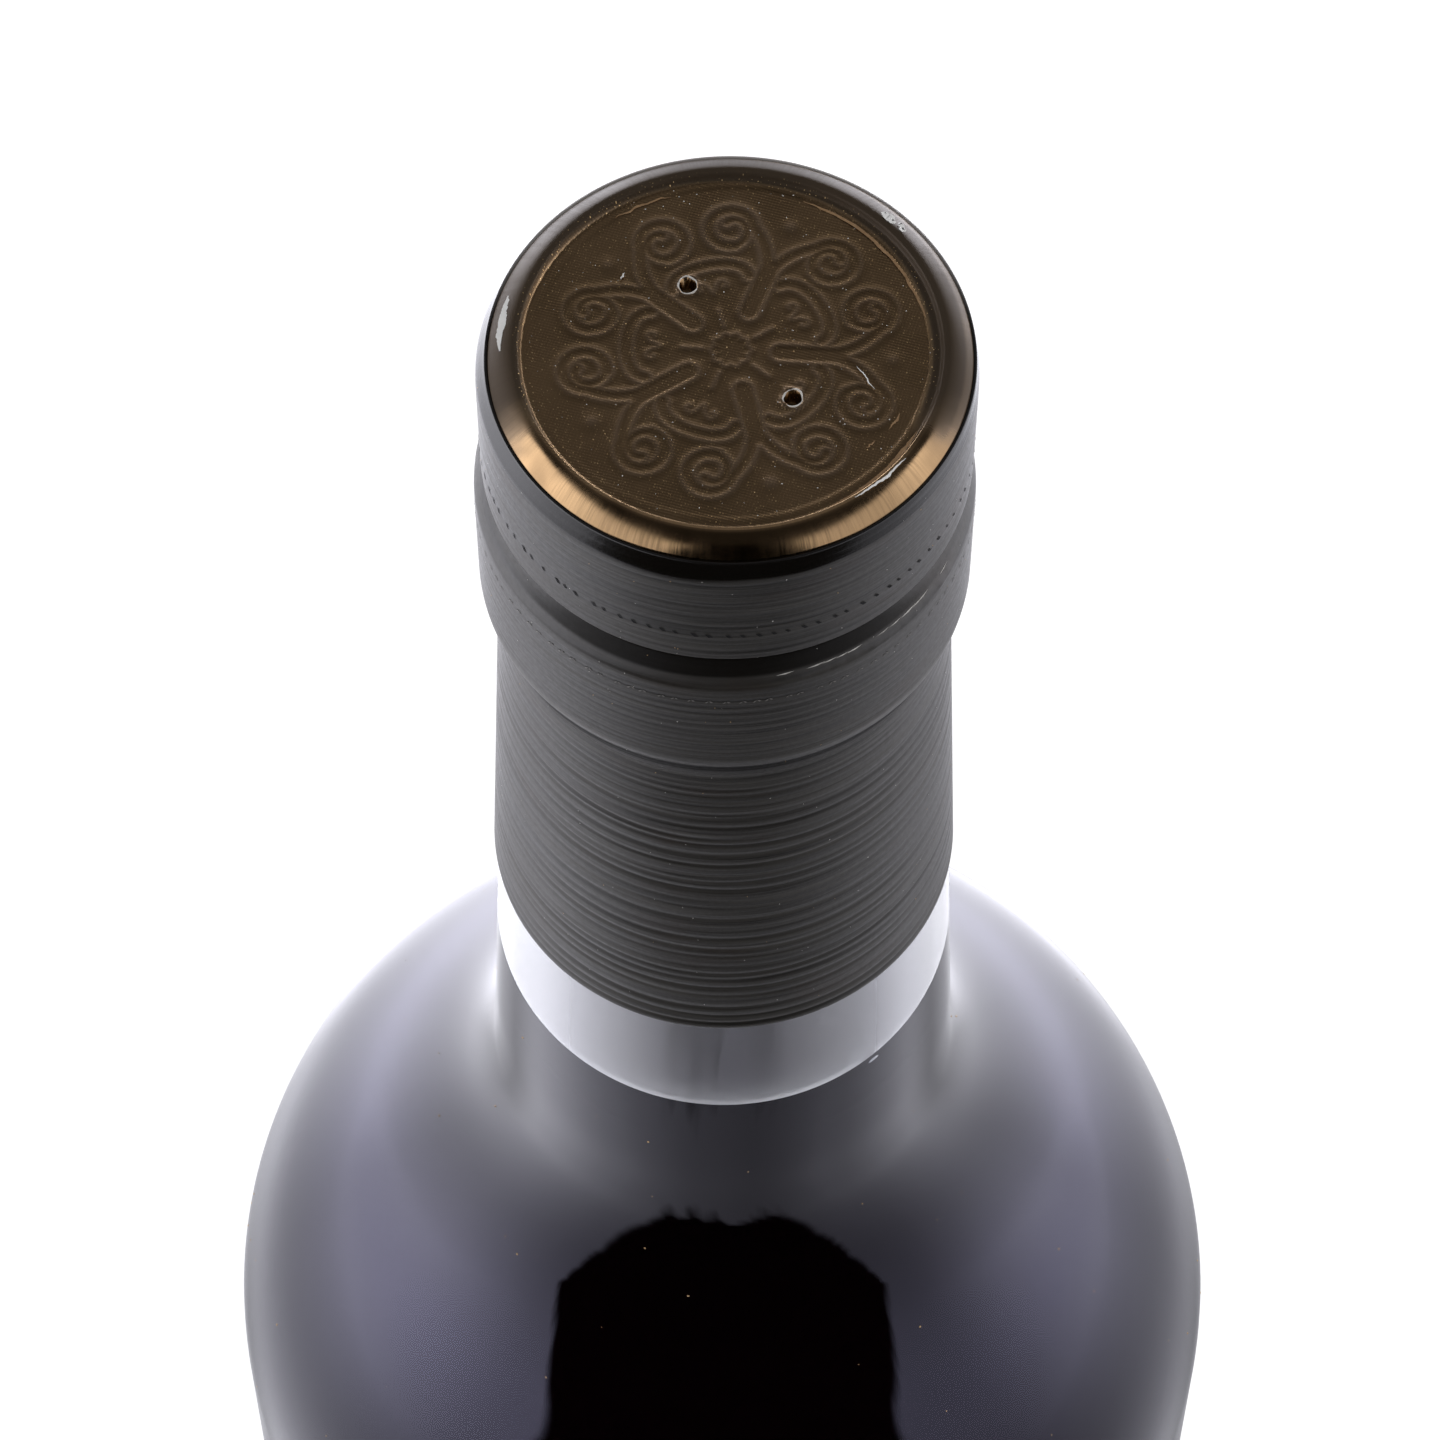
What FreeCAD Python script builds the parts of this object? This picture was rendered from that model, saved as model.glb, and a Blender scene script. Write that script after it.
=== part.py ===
"""Round 75 cl stoppered bottle with its drink, sealed by a shrink capsule with a foil top.

Millimetres, +Z up. The origin is the centre of the base, and every piece is turned about Z.
"""
import FreeCAD, Part
import math
import os

# Glass bottle
GLASS_HEIGHT = 298.0       # base to the top of the lip, where the stopper's head sits
BODY_RADIUS = 38.0
SHOULDER_HEIGHT = 178.8    # base to the top of the straight side
CROWN_RADIUS = 33.4        # the shoulder's outward curve
HOLLOW_RADIUS = 32.0       # the curve between the shoulder and the neck
NECK_RADIUS = 14.0         # right under the lip ring
NECK_SPREAD = 0.042        # how far the neck's side moves out for each mm down
HEEL_RADIUS = 7.0
LIP_RING_PROUD = 1.1       # the thick ring around the mouth stands out this far from the neck
LIP_RING_HEIGHT = 10.6     # from the lip's top down to the ring's lower edge
LIP_RING_STEP = 3.2        # height of the slope from the ring's lower edge to the neck
LIP_BEVEL_HEIGHT = 1.4     # the ring's upper edge slopes in over this height
NECK_WALL = 4.5            # glass between the mouth and the neck's side
BODY_WALL = 3.0
BASE_THICKNESS = 7.0
CAVITY_HEEL_RADIUS = 10.0
BORE_SPREAD = 0.030        # the bore widens by this much for each mm down

# Drink
FILL_DEPTH = 61.0          # from the lip's top down to the drink's surface

# Stopper head, on the lip
HEAD_STEP_IN = 0.4         # its side stands this far inside the lip ring's side
HEAD_HEIGHT = 10.8
HEAD_BEVEL_WIDTH = 0.3     # its upper edge
HEAD_BEVEL_HEIGHT = 0.6
JOINT_DEPTH = 1.0          # of the V between the head and the lip ring
HEAD_LOWER_BEVEL_HEIGHT = 1.4

# Foil disc, on the stopper head
FOIL_RIM_INSET = 1.6       # crest of its raised rim, in from the head's side
FOIL_RIM_HEIGHT = 1.6      # crest above the stopper head
FOIL_EDGE_HEIGHT = 0.55    # outer edge, where the sleeve meets it
FOIL_RIM_WIDTH = 0.7       # from the crest in to the flat floor
FOIL_FLOOR_THICKNESS = 1.1
VENT_RADIUS = 0.5
VENTS = ((5.3, 119.0), (5.0, -43.0))   # distance from the axis and bearing in degrees

# Shrink sleeve, around the stopper head, the lip ring and the neck
SLEEVE_WALL = 0.3
SLEEVE_LENGTH = 57.6       # from the foil's crest down to its cut edge
SLEEVE_TOP_WALL = 0.2      # thinner where it is drawn in around the foil

# Heights and radii worked out from the sizes above
neck_top_z = GLASS_HEIGHT - LIP_RING_HEIGHT - LIP_RING_STEP
ring_low_z = GLASS_HEIGHT - LIP_RING_HEIGHT
ring_high_z = GLASS_HEIGHT - LIP_BEVEL_HEIGHT
head_top_z = GLASS_HEIGHT + HEAD_HEIGHT
crest_z = head_top_z + FOIL_RIM_HEIGHT
sleeve_low_z = crest_z - SLEEVE_LENGTH
foil_edge_z = head_top_z + FOIL_EDGE_HEIGHT
mouth_radius = NECK_RADIUS - NECK_WALL
lip_ring_radius = NECK_RADIUS + LIP_RING_PROUD
head_radius = lip_ring_radius - HEAD_STEP_IN
joint_radius = head_radius - JOINT_DEPTH
foil_edge_radius = head_radius - HEAD_BEVEL_WIDTH
foil_rim_radius = head_radius - FOIL_RIM_INSET
foil_floor_radius = foil_rim_radius - FOIL_RIM_WIDTH

# Corners (r, z) up the side of the lip ring and of the stopper head
LIP_RING = ((NECK_RADIUS, neck_top_z), (lip_ring_radius, ring_low_z), (lip_ring_radius, ring_high_z),
            (joint_radius, GLASS_HEIGHT))
HEAD = ((joint_radius, GLASS_HEIGHT), (head_radius, GLASS_HEIGHT + HEAD_LOWER_BEVEL_HEIGHT),
        (head_radius, head_top_z - HEAD_BEVEL_HEIGHT))


def point(r, z):
    return FreeCAD.Vector(r, 0, z)


def line(a, b):
    return Part.LineSegment(point(*a), point(*b)).toShape()


def path(*corners):
    """Straight edges through the corners, each an (r, z) pair."""
    return [line(a, b) for a, b in zip(corners, corners[1:])]


def arc(start, centre, end):
    """The shorter arc from start to end about the centre."""
    radius = math.dist(start, centre)
    mid = [(s + e) / 2 - c for s, e, c in zip(start, end, centre)]
    reach = radius / math.hypot(*mid)
    middle = (centre[0] + mid[0] * reach, centre[1] + mid[1] * reach)
    return Part.Arc(point(*start), point(*middle), point(*end)).toShape()


def turned(edges):
    """A solid of revolution about Z, from a closed outline of edges."""
    face = Part.Face(Part.Wire(Part.__sortEdges__(edges)))
    return face.revolve(FreeCAD.Vector(0, 0, 0), FreeCAD.Vector(0, 0, 1), 360)


def bottle_side(foot, heel, body, shoulder_z, crown, hollow, top, top_z, spread):
    """Edges from the axis at height foot, round the heel, up the side and the shoulder to (top, top_z).

    The crown arc leaves the straight side upright, and the hollow arc joins it to the neck's taper.
    """
    lean = math.hypot(1, spread)
    crown_centre = (body - crown, shoulder_z)
    offset = top + spread * (top_z - shoulder_z) + hollow * lean - crown_centre[0]
    reach = crown + hollow
    root = math.sqrt((offset * spread) ** 2 - lean ** 2 * (offset ** 2 - reach ** 2))
    rise = (offset * spread + root) / lean ** 2
    hollow_centre = (crown_centre[0] + offset - spread * rise, shoulder_z + rise)
    neck_end = (hollow_centre[0] - hollow / lean, hollow_centre[1] - hollow * spread / lean)
    share = hollow / reach
    turn = tuple(h + (c - h) * share for h, c in zip(hollow_centre, crown_centre))
    edges = path((0, foot), (body - heel, foot))
    edges.append(arc((body - heel, foot), (body - heel, foot + heel), (body, foot + heel)))
    edges += path((body, foot + heel), (body, shoulder_z))
    edges.append(arc((body, shoulder_z), crown_centre, turn))
    edges.append(arc(turn, hollow_centre, neck_end))
    edges += path(neck_end, (top, top_z))
    return edges


def outer_side(wall):
    """Edges up the bottle's outside from the axis to the lip ring, moved out by wall."""
    return bottle_side(0, HEEL_RADIUS, BODY_RADIUS + wall, SHOULDER_HEIGHT, CROWN_RADIUS + wall,
                       HOLLOW_RADIUS - wall, NECK_RADIUS + wall, neck_top_z, NECK_SPREAD)


def cavity():
    """The hollow inside the glass, up to the mouth."""
    edges = bottle_side(BASE_THICKNESS, CAVITY_HEEL_RADIUS, BODY_RADIUS - BODY_WALL, SHOULDER_HEIGHT,
                        CROWN_RADIUS - BODY_WALL, HOLLOW_RADIUS + BODY_WALL,
                        mouth_radius, GLASS_HEIGHT, BORE_SPREAD)
    edges += path((mouth_radius, GLASS_HEIGHT), (0, GLASS_HEIGHT), (0, BASE_THICKNESS))
    return turned(edges)


def glass_bottle():
    return turned(outer_side(0) + path(*LIP_RING, (0, GLASS_HEIGHT), (0, 0))).cut(cavity())


def drink():
    level = GLASS_HEIGHT - FILL_DEPTH
    return cavity().common(Part.makeCylinder(BODY_RADIUS, level))


def stopper_head():
    return turned(path((0, GLASS_HEIGHT), *HEAD, (foil_edge_radius, head_top_z),
                       (0, head_top_z), (0, GLASS_HEIGHT)))


def foil_disc():
    floor_z = head_top_z + FOIL_FLOOR_THICKNESS
    disc = turned(path((0, head_top_z), (foil_edge_radius, head_top_z), (foil_edge_radius, foil_edge_z),
                       (foil_rim_radius, crest_z), (foil_floor_radius, floor_z), (0, floor_z),
                       (0, head_top_z)))
    for distance, bearing in VENTS:
        turn = math.radians(bearing)
        foot = FreeCAD.Vector(distance * math.cos(turn), distance * math.sin(turn), head_top_z)
        disc = disc.cut(Part.makeCylinder(VENT_RADIUS, FOIL_RIM_HEIGHT, foot))
    return disc


def wrapped(wall, *top):
    """The bottle and the head as one solid, moved out by wall, with its last corners at the foil."""
    side = [(r + wall, z) for r, z in (*LIP_RING, *HEAD[1:])]
    return turned(outer_side(wall) + path(*side, *top, (0, foil_edge_z), (0, 0)))


def capsule_sleeve():
    """It follows the bottle's side, the lip ring and the head, and is drawn in against the foil's edge."""
    outside = wrapped(SLEEVE_WALL, (foil_edge_radius + SLEEVE_TOP_WALL, foil_edge_z))
    inside = wrapped(0, (foil_edge_radius, head_top_z), (foil_edge_radius, foil_edge_z))
    return outside.cut(inside).cut(Part.makeCylinder(2 * BODY_RADIUS, sleeve_low_z))


NODES = {
    "glass_bottle": glass_bottle,
    "drink": drink,
    "stopper_head": stopper_head,
    "foil_disc": foil_disc,
    "capsule_sleeve": capsule_sleeve,
}

os.makedirs("parts", exist_ok=True)
for name, make in NODES.items():
    shape = make()
    shape.exportStep(f"parts/{name}.step")
    print(f"{name}: {shape.Volume / 1000:.1f} ml, valid {shape.isValid()}, solids {len(shape.Solids)}")
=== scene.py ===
import math

import bpy
import numpy as np
from mathutils import Matrix, Vector


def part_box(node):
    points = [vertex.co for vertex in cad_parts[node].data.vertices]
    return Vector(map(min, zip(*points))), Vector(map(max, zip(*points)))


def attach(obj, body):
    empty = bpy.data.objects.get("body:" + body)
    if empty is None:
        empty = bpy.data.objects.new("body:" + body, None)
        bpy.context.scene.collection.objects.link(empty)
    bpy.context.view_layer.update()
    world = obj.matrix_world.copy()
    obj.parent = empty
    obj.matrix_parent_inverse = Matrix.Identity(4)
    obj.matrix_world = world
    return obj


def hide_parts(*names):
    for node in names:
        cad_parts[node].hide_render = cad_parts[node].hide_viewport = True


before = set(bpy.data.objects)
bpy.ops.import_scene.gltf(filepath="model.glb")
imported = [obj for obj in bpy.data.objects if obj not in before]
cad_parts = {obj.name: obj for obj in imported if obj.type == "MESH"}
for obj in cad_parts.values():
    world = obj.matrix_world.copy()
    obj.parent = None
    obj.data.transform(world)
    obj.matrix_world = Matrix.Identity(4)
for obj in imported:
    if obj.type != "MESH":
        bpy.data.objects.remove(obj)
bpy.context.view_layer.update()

MM = 0.001
RANDOM_SEED = 7

glass_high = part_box("glass_bottle")[1]
drink_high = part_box("drink")[1]
foil_low, foil_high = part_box("foil_disc")

CREST = foil_high.z        # of the foil's raised rim, which drops are measured down from
FOIL_RADIUS = foil_high.x
FLOOR_DROP = 0.5           # mm from the crest down to the foil's flat floor
VENTS = ((5.3, 119.0), (5.0, -43.0))   # mm from the axis, and bearing in degrees
DAYLIGHT = (0.98, 0.98, 1.06)          # colour of the light that gloss sees


# ---------------------------------------------------------------- outlines taken from the frame

def side(node, outward=True):
    """(r, z) corners of a turned node's outer or inner side, from the lowest to the highest."""
    found = []
    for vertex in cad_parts[node].data.vertices:
        x, y, z = vertex.co
        r = math.hypot(x, y)
        faces_out = (vertex.normal.x * x + vertex.normal.y * y) / max(r, 1e-9)
        if r > 1e-4 and (faces_out > 0.03 if outward else faces_out < -0.03):
            found.append((z, r))
    corners = []
    for z, r in sorted(found):
        if not corners or math.dist((r, z), corners[-1]) > 0.03 * MM:
            corners.append((r, z))
    return corners


def smoothed(corners, step, sharp=14.0):
    """A dense outline through the corners, curved except where it turns by more than sharp degrees."""
    pts = np.array(corners)
    legs = np.diff(pts, axis=0)
    lengths = np.linalg.norm(legs, axis=1)
    units = legs / lengths[:, None]
    dense = []
    for i, (start, end) in enumerate(zip(pts, pts[1:])):
        tangents = []
        for before, after in ((i - 1, i), (i, i + 1)):
            tangent = units[i]
            if before >= 0 and after < len(legs):
                turn = math.degrees(math.acos(min(1.0, float(units[before] @ units[after]))))
                longer = before if lengths[before] > lengths[after] else after
                if turn < sharp and lengths[longer] > 2.5 * min(lengths[before], lengths[after]):
                    tangent = units[longer]
                elif turn < sharp:
                    tangent = units[before] * lengths[after] + units[after] * lengths[before]
                    tangent = tangent / np.linalg.norm(tangent)
            tangents.append(tangent * lengths[i])
        count = max(1, math.ceil(lengths[i] / step))
        for k in range(count):
            t = k / count
            dense.append((2 * t ** 3 - 3 * t ** 2 + 1) * start + (t ** 3 - 2 * t ** 2 + t) * tangents[0]
                         + (3 * t ** 2 - 2 * t ** 3) * end + (t ** 3 - t ** 2) * tangents[1])
    dense.append(pts[-1])
    return np.array(dense)


def smoothstep(x, low, high):
    t = np.clip((np.asarray(x, float) - low) / (high - low), 0, 1)
    return t * t * (3 - 2 * t)


# ---------------------------------------------------------------- meshes

def new_object(name, verts, faces, smooth=True):
    mesh = bpy.data.meshes.new(name)
    mesh.from_pydata([tuple(v) for v in verts], [], faces)
    mesh.validate()
    mesh.polygons.foreach_set("use_smooth", [smooth] * len(mesh.polygons))
    mesh.update()
    piece = bpy.data.objects.new(name, mesh)
    bpy.context.scene.collection.objects.link(piece)
    return piece


def turned(name, radii, heights, segments):
    """A closed surface turned about Z. radii and heights are (rows,) or (rows, segments) arrays;
    the first and last rows are closed with a fan where they don't lie on each other."""
    rows = len(radii)
    angles = np.arange(segments) * 2 * math.pi / segments
    r = np.broadcast_to(np.asarray(radii, float).reshape(rows, -1), (rows, segments))
    z = np.broadcast_to(np.asarray(heights, float).reshape(rows, -1), (rows, segments))
    verts = np.stack([r * np.cos(angles), r * np.sin(angles), z], axis=-1).reshape(-1, 3)
    faces = []
    for i in range(rows - 1):
        a, b = i * segments, (i + 1) * segments
        faces += [(a + k, a + (k + 1) % segments, b + (k + 1) % segments, b + k) for k in range(segments)]
    verts = verts.tolist()
    if math.dist((r[0, 0], z[0, 0]), (r[-1, 0], z[-1, 0])) < 1e-7:
        last = (rows - 1) * segments
        faces = [tuple(v - last if v >= last else v for v in f) for f in faces]
        verts = verts[:last]
    else:
        for row, flip in ((0, True), (rows - 1, False)):
            if r[row, 0] > 1e-9:
                verts.append((0, 0, float(z[row].mean())))
                ring = [(row * segments + k, row * segments + (k + 1) % segments, len(verts) - 1)
                        for k in range(segments)]
                faces += [f[::-1] for f in ring] if flip else ring
    return new_object(name, verts, faces)


# ---------------------------------------------------------------- materials

class Nodes:
    """Short names for building a node tree."""

    def __init__(self, tree):
        self.tree = tree

    def set(self, made, settings):
        for socket, value in settings.items():
            target = made.inputs[socket if isinstance(socket, int) else socket.replace("_", " ")]
            if isinstance(value, bpy.types.NodeSocket):
                self.tree.links.new(value, target)
            else:
                target.default_value = value
        return made

    def add(self, kind, settings=None, **options):
        made = self.tree.nodes.new("ShaderNode" + kind)
        for option, value in options.items():
            setattr(made, option, value)
        return self.set(made, settings or {})

    def math(self, operation, *values):
        return self.add("Math", dict(enumerate(values)), operation=operation).outputs[0]

    def product(self, *values):
        total = values[0]
        for value in values[1:]:
            total = self.math("MULTIPLY", total, value)
        return total

    def ramp(self, value, low, high, start=0.0, end=1.0):
        return self.add("MapRange", {0: value, 1: low, 2: high, 3: start, 4: end},
                        interpolation_type="SMOOTHSTEP").outputs[0]

    def ramp_turn(self, angle, low, high, start=0.0, end=1.0):
        """A ramp over an angle in radians, between low and high in degrees."""
        return self.ramp(angle, math.radians(low), math.radians(high), start, end)

    def ramp_drop(self, z, low, high, start=0.0, end=1.0):
        """A ramp over a height, between low and high in mm below the crest."""
        return self.ramp(z, CREST - low * MM, CREST - high * MM, start, end)

    def distance(self, x, y):
        """How far a point is from the bottle's axis."""
        return self.math("SQRT", self.math("ADD", self.math("MULTIPLY", x, x), self.math("MULTIPLY", y, y)))

    def bearing(self, x, y):
        """How far round from the front a direction is, in radians, to the right positive."""
        return self.math("ARCTAN2", x, self.math("MULTIPLY", y, -1.0))

    def aside(self, x, y):
        """How far round from the front a direction is, in radians, to either side."""
        return self.math("ABSOLUTE", self.bearing(x, y))

    def cool(self, share):
        """White, turning to the bluish white of daylight as share goes from 0 to 1."""
        shade = self.add("CombineColor")
        for channel, value in enumerate(DAYLIGHT):
            self.tree.links.new(self.ramp(share, 0.0, 1.0, 1.0, value), shade.inputs[channel])
        return shade.outputs[0]


class Shader(Nodes):
    """A node material."""

    def __init__(self, name, **settings):
        self.material = bpy.data.materials.new(name)
        self.material.use_nodes = True
        super().__init__(self.material.node_tree)
        self.bsdf = self.tree.nodes["Principled BSDF"]
        self.set(self.bsdf, settings)

    def place(self):
        return self.add("TexCoord").outputs["Object"]

    def axes(self):
        return self.add("SeparateXYZ", {0: self.place()}).outputs

    def around(self, across, up):
        """Coordinates wrapped round the bottle: on a circle of radius across, and height times up."""
        x, y, z = self.axes()
        bearing = self.math("ARCTAN2", y, x)
        flat = self.add("CombineXYZ", {0: self.math("MULTIPLY", self.math("COSINE", bearing), across),
                                       1: self.math("MULTIPLY", self.math("SINE", bearing), across),
                                       2: self.math("MULTIPLY", z, up)})
        return flat.outputs[0]

    def noise(self, where, scale, detail=2.0, roughness=0.5):
        return self.add("TexNoise", {"Vector": where, "Scale": scale, "Detail": detail,
                                     "Roughness": roughness}).outputs[0]

    def blend(self, share, first, second):
        mixed = self.add("Mix", data_type="RGBA")
        for socket, value in ((0, share), (6, first), (7, second)):
            if isinstance(value, bpy.types.NodeSocket):
                self.tree.links.new(value, mixed.inputs[socket])
            else:
                mixed.inputs[socket].default_value = value
        return mixed.outputs[2]

    def bump(self, height, distance, strength=1.0, under=None):
        settings = {"Height": height, "Distance": distance, "Strength": strength}
        if under is not None:
            settings["Normal"] = under
        return self.add("Bump", settings).outputs[0]


def finish_glass():
    """Clear glass, misted on its inner wall above the drink, and greyed there a little way round from the
    front, a painted shade.
    """
    level, inner_wall = drink_high.z, 12.6 * MM
    s = Shader("clear_glass", Transmission_Weight=1.0, IOR=1.5, Specular_Tint=(0.74, 0.72, 1.0, 1))
    smear = s.noise(s.place(), 90.0, 3.0)
    x, y, z = s.axes()
    inside = s.math("LESS_THAN", s.distance(x, y), inner_wall)
    misted = s.math("MULTIPLY", inside, s.ramp(z, level - 1 * MM, level + 1 * MM, 0.0, 0.42))
    aside = s.aside(x, y)
    # Painted shade: the glass just above the drink is tinted grey a little way round from the front, so the
    # neck looks darker there.
    painted_grey_shade = s.product(s.ramp(z, level - 1 * MM, level), s.ramp_turn(aside, 12, 42),
                       s.ramp_turn(aside, 54, 74, 1.0, 0.2))
    clear = s.blend(s.ramp(smear, 0.3, 0.7), (0.975, 0.985, 0.985, 1), (0.95, 0.965, 0.975, 1))
    s.set(s.bsdf, {"Roughness": s.math("ADD", s.ramp(smear, 0.45, 0.8, 0.0, 0.03), misted),
                   "Base Color": s.blend(painted_grey_shade, clear, (0.52, 0.53, 0.55, 1)),
                   "Normal": s.bump(s.noise(s.place(), 45.0, 2.0), 0.00006, 0.6)})
    return s.material


def finish_drink(name, gloss, colour):
    s = Shader(name, IOR=1.36, Specular_IOR_Level=gloss)
    cloud = s.noise(s.place(), 30.0, 2.0)
    s.set(s.bsdf, {"Base Color": s.blend(cloud, (*colour, 1), (*(1.25 * c for c in colour), 1)),
                   "Roughness": s.ramp(cloud, 0.3, 0.7, 0.04, 0.07)})
    return s.material


def finish_foil():
    """Woven bronze with gold glints on the disc, a brushed bevel, and painted shade on the rim round the
    sides and back, which is made dark brown and dull there.
    """
    s = Shader("bronze_foil")
    x, y, z = s.axes()
    thread_width = 0.27 * MM
    pitch = 2 * math.pi / thread_width
    threads = []
    for way in (math.radians(28), math.radians(118)):
        across = s.math("ADD", s.math("MULTIPLY", x, math.cos(way) * pitch),
                        s.math("MULTIPLY", y, math.sin(way) * pitch))
        threads.append(s.math("SINE", across))
    weave = s.math("MULTIPLY", threads[0], threads[1])
    grain = s.noise(s.place(), 5200.0, 2.0)
    patchy = s.noise(s.place(), 260.0, 3.0)
    gold = s.ramp(s.math("MULTIPLY", grain, s.ramp(weave, -0.2, 1.0, 0.7, 1.1)), 0.62, 0.72)
    bronze = s.blend(patchy, (0.215, 0.137, 0.068, 1), (0.29, 0.192, 0.100, 1))
    distance = s.distance(x, y)
    raised = s.math("MULTIPLY", s.ramp_drop(z, FLOOR_DROP - 0.015, FLOOR_DROP - 0.09),
                    s.ramp(distance, 11.4 * MM, 11.0 * MM, 0.0, 0.42))
    bronze = s.blend(raised, bronze, (0.42, 0.30, 0.20, 1))
    brushed = s.noise(s.around(60.0, 300.0), 1.6, 3.0)
    on_bevel = s.ramp(distance, 12.3 * MM, 12.8 * MM)
    off_bevel = s.math("SUBTRACT", 1.0, on_bevel)
    uneven_aside = s.math("ADD", s.aside(x, y), s.math("MULTIPLY", patchy, 0.3))
    # dark is painted shade: the rim round the sides and back, away from the front, is painted near-black
    # brown, made rougher, barely metallic and with little specular, so it shows no reflection there.
    dark = s.product(s.ramp(distance, 12.0 * MM, 12.4 * MM), s.ramp_turn(uneven_aside, 62, 86),
                     s.ramp(distance, 14.4 * MM, 14.1 * MM, 0.80, 0.96))
    stained = s.ramp(s.noise(s.place(), 150.0, 3.0), 0.46, 0.60, 0.0, 0.6)
    streaked = s.math("MULTIPLY", on_bevel,
                      s.math("MAXIMUM", s.ramp(brushed, 0.35, 0.75, 0.0, 0.35), stained))
    bronze = s.blend(dark, s.blend(streaked, bronze, (0.10, 0.065, 0.035, 1)), (0.046, 0.034, 0.024, 1))
    rough = s.math("ADD", s.ramp(patchy, 0.3, 0.7, 0.25, 0.33), s.math("MULTIPLY", dark, 0.22))
    polished = s.math("MULTIPLY", s.ramp(brushed, 0.3, 0.7, -0.14, -0.08), on_bevel)
    cloth = s.bump(s.math("MULTIPLY", s.math("ADD", weave, grain), off_bevel), 0.000008, 0.8)
    s.set(s.bsdf, {"Base Color": s.blend(s.math("MULTIPLY", gold, off_bevel), bronze, (0.85, 0.58, 0.28, 1)),
                   "Metallic": s.ramp(dark, 0.0, 1.0, 1.0, 0.1),
                   "Specular IOR Level": s.ramp(dark, 0.0, 1.0, 0.5, 0.06),
                   "Roughness": s.math("ADD", rough, polished),
                   "Normal": s.bump(s.math("MULTIPLY", brushed, on_bevel), 0.000007, 0.5, cloth)})
    return s.material


def finish_sleeve():
    """Satin black film, with painted shade in the V under the head and under the ring, a painted highlight
    along the ring's lower lip, and rolled over at its top edge, which carries a pale painted sheen behind."""
    roll, v_top, ring_top, ring_lip, ring_foot = 1.85, 10.6, 13.2, 23.0, 25.2     # mm below the crest
    s = Shader("satin_shrink_film", IOR=1.5)
    x, y, z = s.axes()
    fine = s.noise(s.around(0.9, 2600.0), 1.0, 3.0, 0.65)
    broad = s.noise(s.around(1.6, 320.0), 1.0, 3.0)
    grain = s.noise(s.place(), 3000.0, 2.0)
    charcoal = s.blend(s.ramp(fine, 0.25, 0.75), (0.0120, 0.0105, 0.0088, 1), (0.0480, 0.0440, 0.0395, 1))
    brown = s.blend(s.ramp(broad, 0.55, 0.72, 0.0, 0.55), charcoal, (0.028, 0.020, 0.015, 1))
    edge = s.math("ADD", z, s.math("MULTIPLY", s.noise(s.around(2.0, 20.0), 1.0), 0.5 * MM))
    rolled = s.ramp_drop(edge, roll + 0.4, roll)
    aside = s.aside(x, y)
    # recess and under_ring are painted shade: the film is made near black in the V under the head, thinner
    # round the sides, and in the crease under the ring.
    lower = s.math("ADD", z, s.ramp_turn(aside, 15, 65, 0.0, 1.75 * MM))
    recess = s.product(s.ramp_drop(z, ring_top + 0.25, ring_top), s.ramp_drop(lower, v_top, v_top + 1.4),
                       s.ramp_turn(aside, 25, 70, 1.0, 0.45))
    under_ring = s.math("MULTIPLY", s.ramp_drop(z, ring_foot, ring_foot - 0.8),
                        s.ramp_drop(z, ring_lip + 0.1, ring_lip + 0.4))
    shade = s.math("MULTIPLY", s.math("MAXIMUM", recess, under_ring), 0.9)
    sloped = s.math("MAXIMUM", s.ramp_drop(z, ring_lip + 0.6, ring_lip, 0.25, 1.0),
                    s.ramp_drop(z, ring_foot + 0.8, ring_foot + 1.8, 0.25, 1.0))
    satin = s.math("ADD", s.ramp(fine, 0.2, 0.8, 0.33, 0.45), s.ramp(grain, 0.3, 0.7, 0.0, 0.06))
    # lip is a painted highlight: the film is made paler grey along the ring's lower lip, more round the sides
    # than in front.
    lip = s.product(s.ramp_drop(z, ring_lip + 0.2, ring_lip - 0.05),
                    s.ramp_drop(z, ring_lip - 0.7, ring_lip - 0.3), s.ramp_turn(aside, 5, 50, 0.15, 0.6))
    painted_highlight = s.blend(lip, brown, (0.13, 0.125, 0.12, 1))
    film = s.blend(s.math("MAXIMUM", rolled, shade), painted_highlight, (0.005, 0.004, 0.003, 1))
    # A painted sheen: the rolled top edge is made pale grey round the back.
    painted_back_sheen = s.math("MULTIPLY", rolled, s.ramp_turn(aside, 95, 135))
    s.set(s.bsdf, {"Base Color": s.blend(painted_back_sheen, film, (0.30, 0.28, 0.27, 1)),
                   "Specular IOR Level": s.math("MULTIPLY", s.ramp(shade, 0.0, 1.0, 0.5, 0.12), sloped),
                   "Roughness": s.math("ADD", s.math("MULTIPLY", satin, s.math("SUBTRACT", 1.0, rolled)),
                                       s.math("MULTIPLY", rolled, 0.24)),
                   "Normal": s.bump(s.math("ADD", fine, s.math("MULTIPLY", grain, 0.25)), 0.00004, 0.7)})
    return s.material


def finish_plain(name, dark, light, roughness, scale=900.0):
    """A simple finish that still varies in colour, gloss and bump from place to place."""
    s = Shader(name)
    spread = s.noise(s.place(), scale, 3.0)
    s.set(s.bsdf, {"Base Color": s.blend(spread, (*dark, 1), (*light, 1)),
                   "Roughness": s.ramp(spread, 0.3, 0.7, roughness * 0.85, roughness * 1.15),
                   "Normal": s.bump(spread, 0.00003, 0.5)})
    return s.material


# ---------------------------------------------------------------- glass and drink

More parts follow.
